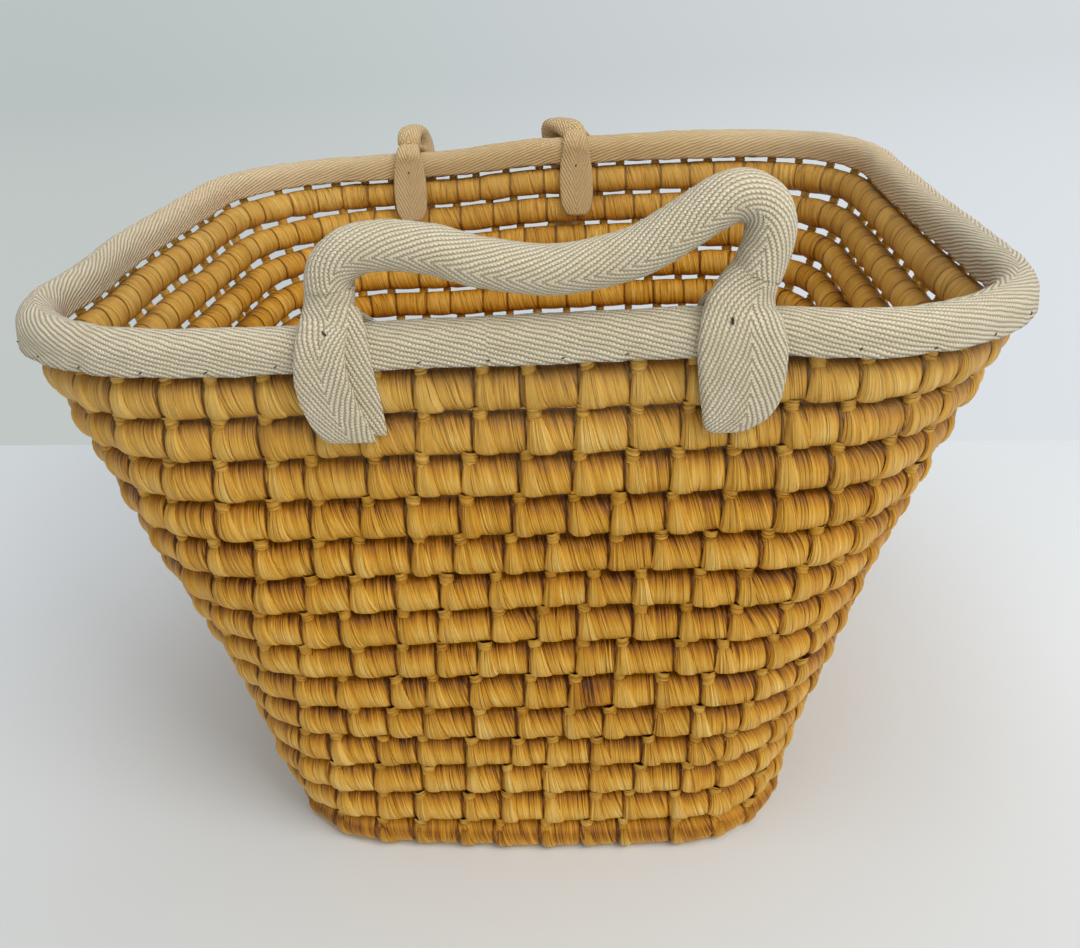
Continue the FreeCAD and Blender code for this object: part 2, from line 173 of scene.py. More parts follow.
def object_place(tree):
    """The place on the object, metres; X first, Y and Z by part()."""
    return make(tree, "ShaderNodeSeparateXYZ", inputs={0: make(tree, "ShaderNodeTexCoord", output="Object")})


# ------------------------------------------------------------------ materials

# The UV map of every fibre piece is in millimetres: U across the strands, V along them.

SCORCH_AT = (0.0275, -0.131, 0.0905)


def palm_fibre():
    material, tree, shader = new_material("palm_fibre")
    place = make(tree, "ShaderNodeUVMap", {"uv_map": "strands"})
    parts = make(tree, "ShaderNodeSeparateXYZ", inputs={0: place})
    across, along = parts, parts.part("Y")
    marks = make(tree, "ShaderNodeAttribute", {"attribute_name": "fibre"})
    tint = make(tree, "ShaderNodeSeparateColor", inputs={0: marks})
    tone, painted_shade, seed = tint, tint.part("Green"), tint.part("Blue")

    def streaks(width, length, detail, shift):
        spot = make(tree, "ShaderNodeCombineXYZ",
                    inputs={0: across / width, 1: along / length, 2: seed * 91.0 + shift})
        return make(tree, "ShaderNodeTexNoise",
                    inputs={"Vector": spot, "Scale": 1.0, "Detail": detail, "Roughness": 0.6})

    hair = smooth(streaks(0.42, 26.0, 3.0, 0.0), 0.32, 0.68)
    strand = streaks(1.25, 34.0, 1.0, 7.0)
    patch = streaks(5.0, 12.0, 2.0, 13.0)
    gap_noise = streaks(1.7, 60.0, 1.0, 29.0) - 0.5
    gap = 1.0 - smooth(gap_noise.maths("ABSOLUTE", gap_noise), 0.0, 0.036)
    gap = gap * smooth(streaks(1.3, 30.0, 0.0, 47.0), 0.36, 0.58)
    position = make(tree, "ShaderNodeTexCoord", output="Object")
    up = make(tree, "ShaderNodeSeparateXYZ", inputs={0: position}).part("Z")
    # painted light: the upper rows on the left side, and the lowest rows, are painted lighter; the upper rows
    # are also blended towards a paler amber
    height_up = smooth(up, 0.17, 0.245)
    foot = 1.0 - smooth(up, 0.0, 0.12)
    sideways = make(tree, "ShaderNodeSeparateXYZ", inputs={0: position})
    painted_light_upper_left = height_up * (1.0 - smooth(sideways, -0.18, -0.06))
    from_scorch = make(tree, "ShaderNodeVectorMath", {"operation": "DISTANCE"},
                       {0: position, 1: SCORCH_AT}, output=1)
    scorch = (1.0 - smooth(from_scorch, 0.002, 0.011)) * 0.75

    # light adds random tone, fibre streaks and the painted light of the lowest and upper-left rows, and takes
    # off the painted shade of the green fibre mark, the fibre gaps and the scorch mark
    light = (tone * 0.15 + hair * 0.30 + strand * 0.34 + patch * 0.36 + foot * 0.07 + painted_light_upper_left * 0.10 + 0.090
             - painted_shade * 0.56 - gap * 0.27 - scorch * 0.6)
    colour = make(tree, "ShaderNodeValToRGB", {"stops": [
        (0.02, (0.075, 0.019, 0.001)), (0.26, (0.360, 0.125, 0.0035)), (0.52, (0.650, 0.295, 0.012)),
        (0.76, (0.820, 0.460, 0.070)), (0.99, (0.930, 0.680, 0.240))]}, {0: clamp01(light)})
    colour = blend_colour(tree, height_up * 0.30, colour, (0.68, 0.47, 0.16))
    feed(tree, shader, "Base Color", colour)
    feed(tree, shader, "Roughness", 0.34 + hair * 0.22)
    height = hair * 0.42 + strand * 1.1 - gap * 0.8
    bump = make(tree, "ShaderNodeBump", inputs={"Strength": 1.0, "Distance": 0.00055, "Height": height})
    feed(tree, shader, "Normal", bump)
    shader.inputs["Specular IOR Level"].default_value = 0.34
    return material


def twill_tape(name, body, shadow, spine, line_share=0.70):
    """Herringbone cotton tape; its UV map is in millimetres, U across the tape from its spine, V along it."""
    material, tree, shader = new_material(name)
    place = make(tree, "ShaderNodeUVMap", {"uv_map": "weave"})
    parts = make(tree, "ShaderNodeSeparateXYZ", inputs={0: place})
    across, along = parts, parts.part("Y")
    wobble_at = make(tree, "ShaderNodeCombineXYZ", inputs={0: across / 6.0, 1: along / 9.0, 2: 3.0})
    wobble = make(tree, "ShaderNodeTexNoise", inputs={"Vector": wobble_at, "Scale": 1.0, "Detail": 1.0}) - 0.5
    # ridges run away from the spine on both sides, and each is a row of slanting yarn floats
    reach = across.maths("ABSOLUTE", across)
    float_phase = (along * spine[0] - reach * spine[1]) / 1.25 + wobble * 1.5
    stair = float_phase.maths("SINE", float_phase * (2 * math.pi)) * 0.09
    ridge_phase = (reach * spine[0] + along * spine[1]) / spine[2] + wobble * 0.7 + stair
    ridge = ridge_phase.maths("FRACT", ridge_phase)
    crown = ridge.maths("ABSOLUTE", ridge * 2.0 - 1.0)
    groove = smooth(crown, 1.0 - line_share, 1.0)
    slanted = float_phase + ridge * 0.5
    float_step = slanted.maths("FRACT", slanted)
    float_crown = float_step.maths("ABSOLUTE", float_step * 2.0 - 1.0)
    yarn_gap = smooth(float_crown, 0.50, 1.0)
    grime_at = make(tree, "ShaderNodeCombineXYZ", inputs={0: across / 5.0, 1: along / 14.0, 2: 11.0})
    grime = make(tree, "ShaderNodeTexNoise", inputs={"Vector": grime_at, "Scale": 1.0, "Detail": 3.0})
    lint_at = make(tree, "ShaderNodeCombineXYZ", inputs={0: across / 0.35, 1: along / 0.35, 2: 5.0})
    lint = make(tree, "ShaderNodeTexNoise", inputs={"Vector": lint_at, "Scale": 1.0, "Detail": 2.0})
    position = object_place(tree)
    # the tape is tinted warmer and darker towards the back; that tint is paler at the left and right sides,
    # which is painted light
    toward_back = smooth(position.part("Y"), -0.06, 0.16)
    cloth = blend_colour(tree, clamp01(grime * 1.2 - 0.25), body[0], body[1])
    sideways = smooth(position.maths("ABSOLUTE", position), 0.05, 0.17)
    back_tint = blend_colour(tree, sideways, (0.76, 0.50, 0.20), (0.90, 0.67, 0.37))
    cloth = blend_colour(tree, toward_back * 0.8, cloth, back_tint)
    dark = clamp01((groove * 0.50 + yarn_gap * 0.22) * (1.0 - toward_back * 0.68) + (lint - 0.5) * 0.4)
    colour = blend_colour(tree, dark, cloth, shadow)
    feed(tree, shader, "Base Color", colour)
    feed(tree, shader, "Roughness", 0.84 + groove * 0.1)
    height = (1.0 - crown * crown) * 0.9 + (1.0 - yarn_gap) * 0.35 + lint * 0.35
    bump = make(tree, "ShaderNodeBump", inputs={"Strength": 1.0, "Distance": 0.0007, "Height": height})
    feed(tree, shader, "Normal", bump)
    shader.inputs["Specular IOR Level"].default_value = 0.2
    shader.inputs["Sheen Weight"].default_value = 0.25
    shader.inputs["Sheen Roughness"].default_value = 0.5
    return material


def sewing_thread():
    material, tree, shader = new_material("dark_thread")
    place = make(tree, "ShaderNodeTexCoord", output="Object")
    twist = make(tree, "ShaderNodeTexNoise", inputs={"Vector": place, "Scale": 2600.0, "Detail": 2.0})
    colour = make(tree, "ShaderNodeValToRGB",
                  {"stops": [(0.3, (0.016, 0.014, 0.012)), (0.75, (0.075, 0.065, 0.05))]}, {0: twist})
    feed(tree, shader, "Base Color", colour)
    shader.inputs["Roughness"].default_value = 0.8
    return material


def rope_strands():
    material, tree, shader = new_material("cotton_rope")
    place = make(tree, "ShaderNodeTexCoord", output="Object")
    lay = make(tree, "ShaderNodeTexNoise", inputs={"Vector": place, "Scale": 700.0, "Detail": 3.0})
    colour = make(tree, "ShaderNodeValToRGB",
                  {"stops": [(0.3, (0.50, 0.45, 0.34)), (0.7, (0.72, 0.67, 0.55))]}, {0: lay})
    feed(tree, shader, "Base Color", colour)
    bump = make(tree, "ShaderNodeBump", inputs={"Strength": 0.6, "Distance": 0.0005, "Height": lay})
    feed(tree, shader, "Normal", bump)
    shader.inputs["Roughness"].default_value = 0.9
    return material


PALM = palm_fibre()
CREAM = ((0.850, 0.755, 0.555), (0.765, 0.640, 0.400))
YARN_SHADOW = (0.255, 0.200, 0.120)
TAPE = twill_tape("herringbone_tape", CREAM, YARN_SHADOW, (0.962, -0.272, 1.62))
STRAP_DOWN = twill_tape("herringbone_strap_down", CREAM, YARN_SHADOW, (0.910, 0.415, 1.66))
STRAP_UP = twill_tape("herringbone_strap_up", CREAM, YARN_SHADOW, (0.910, -0.415, 1.66))
THREAD = sewing_thread()
ROPE = rope_strands()


# ------------------------------------------------------------------ the closed outline of a coil

class Outline:
    """Straight sides joined by quarter bends, walked by length from the middle of the front."""

    def __init__(self, half_width, front, back, front_corner, back_corner):
        self.half_width = half_width
        self.front = front
        self.back = back
        fx, fy = half_width - front_corner, front - front_corner
        bx, by = half_width - back_corner, back - back_corner
        self.stretches = [
            ("line", Vector((0, -front, 0)), Vector((fx, -front, 0))),
            ("bend", Vector((fx, -fy, 0)), front_corner, -90),
            ("line", Vector((half_width, -fy, 0)), Vector((half_width, by, 0))),
            ("bend", Vector((bx, by, 0)), back_corner, 0),
            ("line", Vector((bx, back, 0)), Vector((-bx, back, 0))),
            ("bend", Vector((-bx, by, 0)), back_corner, 90),
            ("line", Vector((-half_width, by, 0)), Vector((-half_width, -fy, 0))),
            ("bend", Vector((-fx, -fy, 0)), front_corner, 180),
            ("line", Vector((-fx, -front, 0)), Vector((0, -front, 0))),
        ]
        self.lengths = [(s[2] - s[1]).length if s[0] == "line" else s[2] * math.pi / 2
                        for s in self.stretches]
        self.total = sum(self.lengths)

    def at(self, distance):
        """Point and outward direction."""
        distance %= self.total
        for stretch, length in zip(self.stretches, self.lengths):
            if distance > length:
                distance -= length
                continue
            if stretch[0] == "line":
                way = (stretch[2] - stretch[1]).normalized()
                return stretch[1] + way * distance, Vector((way.y, -way.x, 0))
            angle = math.radians(stretch[3]) + distance / stretch[2]
            outward = Vector((math.cos(angle), math.sin(angle), 0))
            return stretch[1] + outward * stretch[2], outward
        return self.at(0.0)


class Turn:
    """One turn of the coil: where it lies, how it leans and how far the next turn is."""

    def __init__(self, node, share, corners):
        low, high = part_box(node)
        self.node = node
        self.share = share
        self.height = (low.z + high.z) / 2
        half_width = (high.x - low.x) / 2 - COIL_RADIUS
        self.outline = Outline(half_width, -low.y - COIL_RADIUS, high.y - COIL_RADIUS, *corners)
        self.stitches = round(self.outline.total / STITCH_SPACING)
        self.below = None
        self.above = None
        self.places = []

    def set_places(self, dice, drift):
        """Where along the coil each stitch begins; the last is the first again, one turn on."""
        pitch = self.outline.total / self.stitches
        self.places = [(number + drift + dice.uniform(-0.14, 0.14)) * pitch
                       for number in range(self.stitches)]
        self.places.append(self.places[0] + self.outline.total)

    def lean_to(self, other, outward):
        """Angle from upright, and distance, from this turn to another one in this direction."""
        here, there = self.outline, other.outline
        ends = (there.back - here.back) if outward.y > 0 else (there.front - here.front)
        sideways = other.outline.half_width - self.outline.half_width
        step = outward.x ** 2 * sideways + outward.y ** 2 * ends
        rise = other.height - self.height
        return math.atan2(step, rise), math.hypot(step, rise)

    def lean(self, outward):
        angles = []
        if self.above:
            angles.append(self.lean_to(self.above, outward)[0])
        if self.below:
            angle = self.below.lean_to(self, outward)[0]
            angles.append(angle)
        return sum(angles) / len(angles)


def mix(first, second, share):
    return first + (second - first) * share


def all_turns():
    wall = []
    for number in range(1, WALL_ROWS + 2):
        node = "coil_row_%02d" % number if number <= WALL_ROWS else "rim_coil"
        share = (number - 1) / WALL_ROWS
        corners = (mix(BASE_CORNER, RIM_FRONT_CORNER, share), mix(BASE_CORNER, RIM_BACK_CORNER, share))
        wall.append(Turn(node, share, corners))
    base = []
    for number in range(BASE_RINGS, 0, -1):
        corner = mix(BASE_CORNER, BASE_INNER_CORNER, number / BASE_RINGS)
        ring = Turn("base_ring_%d" % number, 0.0, (corner, corner))
        base.append(ring)
    base.insert(0, Turn("base_centre_coil", 0.0, (7.2 * MM, 7.2 * MM)))
    for ring in base:
        ring.height = 5.9 * MM
    chain = base + wall
    dice = random.Random(11)
    drift = 0.0
    for turn in reversed(chain):
        drift -= dice.uniform(0.12, 0.30)
        turn.set_places(dice, drift)
    for lower, upper in zip(chain, chain[1:]):
        lower.above = upper
        upper.below = lower
    return base, wall


# How far the mouth of the soft wall is lifted and spread, mm, every 22.5 degrees
# from the left round by the front.
MOUTH_LIFT = [-2.5, -1.5, 0, 0.3, 1.2, 1.8, -1, -3.5, -3.5, 0, 4.5, 6.5, 5.5, 0.5, -0.5, -2]
MOUTH_SPREAD = [2.5, -6, -4, 0, 0, 0, 2, 0, 0, -2, -4, -1.5, 0, 0, 2, 2]
# How far the middle of the wall swells, mm, at the same places.
WALL_SWELL = [7.5, 6, 3, 1, 0.5, 0.5, 1, 2, 3, 2.5, 1.5, 1, 0.5, 1, 3, 5.5]


def around_value(table, angle):
    """A smooth value between the entries of a table that goes once round the upright."""
    spot = (angle + math.pi) / (2 * math.pi) * len(table)
    low = math.floor(spot)
    t = spot - low
    return mix(table[low % len(table)], table[(low + 1) % len(table)], t * t * (3 - 2 * t))


def settle(place):
    """The soft wall's sag: the mouth is higher at the front and back, and nothing is quite straight."""
    share = max(0.0, min(1.1, place.z / RIM_TOP))
    angle = math.atan2(place.y - 0.03, place.x)
    lift = around_value(MOUTH_LIFT, angle) * share * share * MM
    swell = around_value(WALL_SWELL, angle) * math.sin(math.pi * min(1.0, share)) * MM
    sway = noise.noise(Vector((place.x * 9, place.y * 9, place.z * 16)))
    heave = noise.noise(Vector((place.x * 13 + 40, place.y * 13, place.z * 22)))
    radial = Vector((place.x, place.y - 0.03, 0))
    radial.normalize()
    foot = min(1.0, place.z / (30 * MM))
    calm = 1 - 0.5 * share
    press = around_value(MOUTH_SPREAD, angle) * share ** 3 * MM
    # the front of the base bellies out
    belly = 4.0 * MM * math.exp(-((angle + math.pi / 2) / 0.45) ** 2) * math.exp(-(place.z / 0.035) ** 2)
    if math.hypot(place.x, place.y) < 0.08:
        belly = 0.0
    out = sway * 2.2 * MM * foot * calm + press + belly + swell
    return place + UP * (lift + heave * 1.6 * MM * foot * calm) + radial * out


def set_uv(mesh, name, values):
    """One UV for each face corner, worked out from the corner's vertex."""
    layer = mesh.uv_layers.get(name) or mesh.uv_layers.new(name=name)
    for loop in mesh.loops:
        layer.data[loop.index].uv = values[loop.vertex_index]
    for other in [l for l in mesh.uv_layers if l.name != name]:
        mesh.uv_layers.remove(other)


def set_marks(mesh, values):
    """Tone, painted shade and seed of the fibre at each vertex."""
    layer = mesh.color_attributes.get("fibre") or mesh.color_attributes.new("fibre", "FLOAT_COLOR", "POINT")
    for index, value in enumerate(values):
        layer.data[index].color = (*value, 1)


def finish_piece(piece, material, body="basket", smooth_shade=True):
    piece.data.materials.clear()
    piece.data.materials.append(material)
    if smooth_shade:
        for face in piece.data.polygons:
            face.use_smooth = True
    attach(piece, body)
    return piece


# ------------------------------------------------------------------ wrapped coil

# Where the cross lines of one stitch length lie: close together at the crease beside the stitch.
CROSS_LINES = [0.0, 0.025, 0.07, 0.14, 0.22, 0.30, 0.38, 0.44, 0.50, 0.58, 0.67, 0.76, 0.85, 0.92, 0.965]
AROUND = 20
KNOT_AT = 3.0 * MM


def crease(place):
    """How deep the fibre is drawn in at this share of a stitch length."""
    near = min(place, 1 - place)
    return math.exp(-(near / 0.035) ** 2)


def wrapped_coil(turn, name, seed):
    dice = random.Random(seed)
    outline = turn.outline
    count = turn.stitches
    columns = count * len(CROSS_LINES)
    clear_selection()
    bpy.ops.mesh.primitive_grid_add(x_subdivisions=columns, y_subdivisions=AROUND, size=1)
    piece = bpy.context.object
    piece.name = name
    mesh = piece.data
    slants = [dice.uniform(0.04, 0.40) for _ in range(count)]
    tones = [dice.random() for _ in range(count)]
    fat = [dice.uniform(0.975, 1.05) for _ in range(count)]
    for values in (slants, tones, fat):
        values.append(values[0])
    stations = []
    for column in range(columns + 1):
        unit, line = divmod(column, len(CROSS_LINES))
        share = CROSS_LINES[line]
        start = turn.places[unit]
        length = (turn.places[unit + 1] - start) if unit < count else 0.0
        distance = start + share * length
        point, outward = outline.at(distance)
        stations.append((unit, share, distance, point, outward, turn.lean(outward)))
    uvs = []
    marks = []
    for vertex in mesh.vertices:
        column = round((vertex.co.x + 0.5) * columns)
        angle = math.radians(-90 + 360 * (vertex.co.y + 0.5))
        unit, share, distance, point, outward, lean = stations[column]
        outer = max(0.0, math.cos(angle))
        top = max(0.0, math.sin(angle))
        under = max(0.0, -math.sin(angle))
        pinch = crease(share)
        plump = math.sin(math.pi * share) ** 0.6
        swell = (0.955 + 0.06 * plump - 0.12 * pinch * (0.35 + 0.65 * outer)) * mix(1, fat[unit], plump)
        lump = noise.noise(Vector((distance * 260, angle * 1.2, seed * 3.7))) * 0.04
        radius_out = COIL_RADIUS * 0.98 * (swell + lump)
        radius_up = COIL_RADIUS * 1.125 * (0.975 + 0.03 * plump + lump * 0.5
                                           + under * 0.05 * math.sin(math.pi * share))
        if turn.above:
            radius_up *= mix(1, fat[unit], plump)
        y = radius_out * math.copysign(abs(math.cos(angle)) ** 0.86, math.cos(angle))
        z = radius_up * math.copysign(abs(math.sin(angle)) ** 0.92, math.sin(angle))
        place = point + outward * (y * math.cos(lean) + z * math.sin(lean))
        place = place + UP * (turn.height + z * math.cos(lean) - y * math.sin(lean))
        place = settle(place)
        place.z = max(place.z, 0.0002)
        vertex.co = place
        around = math.radians(360) * COIL_RADIUS * (vertex_share(angle))
        uvs.append(((distance + slants[unit] * around) / MM + unit * 3.1, around / MM))
        # painted shade: the coil is darker over its top under the row above, on its underside and in the
        # creases beside each stitch
        painted_shade = top ** 1.5 * (0.55 + 0.50 * outer ** 0.3) + under ** 3 * 0.55 + pinch * 1.0
        marks.append((tones[unit], min(1.0, painted_shade), (unit * 0.37 + seed * 0.11) % 1.0))
    set_uv(mesh, "strands", uvs)
    set_marks(mesh, marks)
    merge_seams(0.00003)
    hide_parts(turn.node)
    return finish_piece(piece, PALM)


def vertex_share(angle):
    """How far round the coil an angle lies, from 0 at the underside to 1 at the underside again."""
    return (math.degrees(angle) + 90) / 360


# ------------------------------------------------------------------ stitches: a wound knot over a sheaf

SHEAF_ACROSS = 6
SHEAF_DOWN = 9
KNOT_SIDES = 8
# Height above the coil's centre and radius of the rings of a knot, mm:
# drawn in, wound three times, spread above.
KNOT_RINGS = [(5.0, 2.5), (6.5, 2.15), (7.3, 2.6), (8.2, 2.25), (9.0, 2.6), (9.9, 2.2), (11.6, 3.3)]


def stitch_template():
    """A sheaf grid and a knot barrel, joined, with their faces in a known order."""
    clear_selection()
    bpy.ops.mesh.primitive_grid_add(x_subdivisions=SHEAF_ACROSS, y_subdivisions=SHEAF_DOWN, size=1)
    sheaf = bpy.context.object
    bpy.ops.mesh.primitive_grid_add(x_subdivisions=KNOT_SIDES, y_subdivisions=len(KNOT_RINGS) - 1, size=1,
                                    location=(5, 0, 0))
    knot = bpy.context.object
    clear_selection()
    knot.select_set(True)
    sheaf.select_set(True)
    bpy.context.view_layer.objects.active = sheaf
    bpy.ops.object.join()
    return sheaf


def stitch_row(turn, name, seed):
    """All the stitches that tie a turn to the next one, each a little different."""
    dice = random.Random(seed * 7 + 1)
    outline = turn.outline
    count = turn.stitches
    piece = stitch_template()
    piece.name = name
    array = piece.modifiers.new("along_the_coil", "ARRAY")
    array.count = count
    array.use_relative_offset = False
    array.use_constant_offset = True
    array.constant_offset_displace = (0, 0, 0)
    bpy.ops.object.modifier_apply(modifier=array.name)
    mesh = piece.data
    each = len(mesh.vertices) // count
    looks = []
    for _ in range(count):
        looks.append({
            "drop_left": dice.uniform(-4.3, -2.5), "drop_right": dice.uniform(4.4, 9.2),
            "proud": dice.uniform(0.95, 1.5), "knot": dice.uniform(0.88, 1.14),
            "tilt": dice.uniform(-0.2, 0.2),
            "seat": dice.uniform(-0.6, 0.5),
            "tone": dice.random(), "seed": dice.random(), "out": dice.uniform(1.9, 3.3),
        })
    uvs = []
    marks = []
    for vertex in mesh.vertices:
        unit = vertex.index // each
        look = looks[unit]
        knot_at = turn.places[unit] + KNOT_AT
        if vertex.co.x < 2:
            # the sheaf: from under the knot down over the face of the coil
            across = vertex.co.x * 2
            down = 0.5 - vertex.co.y
            angle = math.radians(mix(84, -78, down))
            spread = min(1.0, down / 0.85)
            left = mix(-1.7, look["drop_left"], spread)
            right = mix(1.9, look["drop_right"], spread)
            x = mix(left, right, (across + 1) / 2) * MM
            edge = 1 - abs(across) ** 4
            tuck = min(1.0, (1 - down) / 0.10)
            rise = (look["proud"] * edge * (1 + 0.35 * down) - 0.35) * MM * (0.3 + 0.7 * tuck)
            y = (COIL_RADIUS * 0.99 + rise) * math.copysign(abs(math.cos(angle)) ** 0.86, math.cos(angle))
            z = (COIL_RADIUS * 1.07 + rise) * math.copysign(abs(math.sin(angle)) ** 0.92, math.sin(angle))
            distance = knot_at + x
            uvs.append((across * 5.0 + unit * 17.0, down * 17.0))
            # painted shade: the sheaf is darker under the knot at its top, at its edges and along a crease at
            # its left edge; the two subtractions paint a highlight across its middle and lower part
            shade = 0.75 * (1 - down) ** 3 + (1 - edge) * 0.15 + (0.5 if across < -0.9 else 0.0)
            shade = shade - 0.08 * math.exp(-((down - 0.45) / 0.2) ** 2) - 0.10 * down ** 2
            marks.append((look["tone"] + 0.2, shade, look["seed"]))
        else:
            side = (vertex.co.x - 5 + 0.5) * 2 * math.pi
            ring = round((vertex.co.y + 0.5) * (len(KNOT_RINGS) - 1))
            height, radius = KNOT_RINGS[ring]
            radius *= look["knot"]
            x = radius * math.cos(side) * 1.08 * MM
            y = (look["out"] + radius * math.sin(side)) * MM
            z = (height + look["seat"] + look["tilt"] * radius * math.cos(side) * 2) * MM
            distance = knot_at + x
            uvs.append((height * 1.1 + unit * 17.0, side * 2.3))
            # the knot gets a slight even painted shade
            marks.append((look["tone"], 0.10, look["seed"]))
        point, outward = outline.at(distance)
        if vertex.co.x < 2:
            lean = turn.lean(outward)
        else:
            lean, gap = turn.lean_to(turn.above, outward)
            z *= gap / (16.9 * MM)
        place = point + outward * (y * math.cos(lean) + z * math.sin(lean))
        place = place + UP * (turn.height + z * math.cos(lean) - y * math.sin(lean))
        place = settle(place)
        place.z = max(place.z, 0.0001)
        vertex.co = place
    set_uv(mesh, "strands", uvs)
    set_marks(mesh, marks)
    merge_seams(0.00001)
    return finish_piece(piece, PALM)


base_turns, wall_turns = all_turns()

for number, turn in enumerate(wall_turns, 1):
    label = "wrapped_row_%02d" % number if number <= WALL_ROWS else "wrapped_rim_row"
    wrapped_coil(turn, label, number)

for number, turn in enumerate(wall_turns[:-1], 1):
    stitches = stitch_row(turn, "row_stitches_%02d" % number, number)
    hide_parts("stitches_row_%02d" % number)

for number, turn in enumerate(base_turns):
    wrapped_coil(turn, "wrapped_base_ring_%d" % number if number else "wrapped_base_centre", 30 + number)
    stitches = stitch_row(turn, "base_stitches_%d" % number, 30 + number)
    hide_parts("base_stitches")

# ------------------------------------------------------------------ folded rim tape

TAPE_WIDTH = 36.5 * MM
TAPE_THICK = 1.1 * MM
TAPE_RADIUS = 7.55 * MM
INNER_SKIRT = 6.3 * MM
OUTER_SKIRT = TAPE_WIDTH - INNER_SKIRT - math.pi * TAPE_RADIUS
TAPE_ACROSS = 26
TAPE_STEP = 3.0 * MM
THREAD_EVERY = 24 * MM


def tape_section(run):
    """Outward and upward place, from the rim coil's centre, this far across from the inner edge."""
    if run < INNER_SKIRT:
        return -TAPE_RADIUS - 0.2 * MM, run - INNER_SKIRT
    if run < INNER_SKIRT + math.pi * TAPE_RADIUS:
        angle = math.pi - (run - INNER_SKIRT) / TAPE_RADIUS
        return TAPE_RADIUS * math.cos(angle), TAPE_RADIUS * math.sin(angle)
    below = run - INNER_SKIRT - math.pi * TAPE_RADIUS
    return TAPE_RADIUS + below * 0.03, -below


def rim_binding(rim):
    outline = rim.outline
    columns = round(outline.total / TAPE_STEP)
    clear_selection()
    bpy.ops.mesh.primitive_grid_add(x_subdivisions=columns, y_subdivisions=TAPE_ACROSS, size=1)
    piece = bpy.context.object
    piece.name = "rim_binding"
    mesh = piece.data
    uvs = []
    for vertex in mesh.vertices:
        along = (vertex.co.x + 0.5) * outline.total
        run = (vertex.co.y + 0.5) * TAPE_WIDTH
        point, outward = outline.at(along)
        turn_share = 2 * math.pi * along / outline.total
        ring = Vector((math.cos(turn_share), math.sin(turn_share), 0))
        y, z = tape_section(run)
        skirt = max(0.0, abs(run / TAPE_WIDTH - 0.5) - 0.28) / 0.22
        stretch = 1 + 0.10 * skirt * noise.noise(ring * 7 + Vector((0, 0, 3)))
        if z < 0:
            z *= stretch * (1 + 0.12 * noise.noise(ring * 22))
        puff = noise.noise(ring * 26 + Vector((0, 0, run * 90))) * 0.45 * MM
        pucker = math.cos(2 * math.pi * along / THREAD_EVERY)
        puff -= 0.35 * MM * skirt * max(0.0, pucker) ** 6
        direction = Vector((y, z + 2 * MM)).normalized()
        y += direction.x * puff
        z += direction.y * puff
        place = point + outward * y + UP * (rim.height + z)
        vertex.co = settle(place)
        uvs.append(((run - TAPE_WIDTH * 0.5) / MM, along / MM))
    set_uv(mesh, "weave", uvs)
    merge_seams(0.00003)
    if mesh.polygons[len(mesh.polygons) // 2].normal.z < 0:
        mesh.flip_normals()
    wall = piece.modifiers.new("thickness", "SOLIDIFY")
    wall.thickness = TAPE_THICK
    wall.offset = -0.2
    wall.use_even_offset = False
    bpy.ops.object.modifier_apply(modifier=wall.name)
    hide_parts("rim_tape")
    finish_piece(piece, TAPE)
    return piece


# ------------------------------------------------------------------ straps: rolled or flattened tape

def smooth_path(stations, step):
    """Every value of the stations, run through them smoothly at about the given step, mm."""
    rows = []
    last = len(stations) - 1
    for number in range(last):
        before, start, end, after = (stations[max(0, min(last, number + k))] for k in (-1, 0, 1, 2))
        before = before if before[3] else start
        after = after if after[3] else end
        length = math.dist(start[:3], end[:3])
        pieces = max(1, math.ceil(length / step))
        for piece in range(pieces):
            t = piece / pieces
            rows.append([0.5 * (2 * q + (r - p) * t + (2 * p - 5 * q + 4 * r - w) * t * t
                                + (3 * q - p - 3 * r + w) * t ** 3)
                         for p, q, r, w in zip(before, start, end, after)])
    rows.append(list(stations[last]))
    return rows


def ring_outline(half_width, half_thick, squareness, sides, lobes):
    """Points evenly round a strap's section, from the middle of its back, with the distance round."""
    fine = 120
    raw = []
    for number in range(fine + 1):
        angle = -math.pi / 2 + 2 * math.pi * number / fine
        c, s = math.cos(angle), math.sin(angle)
        bulge = 1 + lobes[0] * math.cos(lobes[1] * angle + lobes[2])
        raw.append((half_width * math.copysign(abs(c) ** squareness, c) * bulge,
                    half_thick * math.copysign(abs(s) ** squareness, s) * bulge))
    lengths = [0.0]
    for first, second in zip(raw, raw[1:]):
        lengths.append(lengths[-1] + math.dist(first, second))
    total = lengths[-1]
    points = []
    spot = 0
    for number in range(sides + 1):
        wanted = total * number / sides
        while spot < fine - 1 and lengths[spot + 1] < wanted:
            spot += 1
        span = lengths[spot + 1] - lengths[spot]
        t = (wanted - lengths[spot]) / span if span > 1e-9 else 0.0
        points.append((mix(raw[spot][0], raw[spot + 1][0], t), mix(raw[spot][1], raw[spot + 1][1], t),
                       wanted - total / 2))
    return points


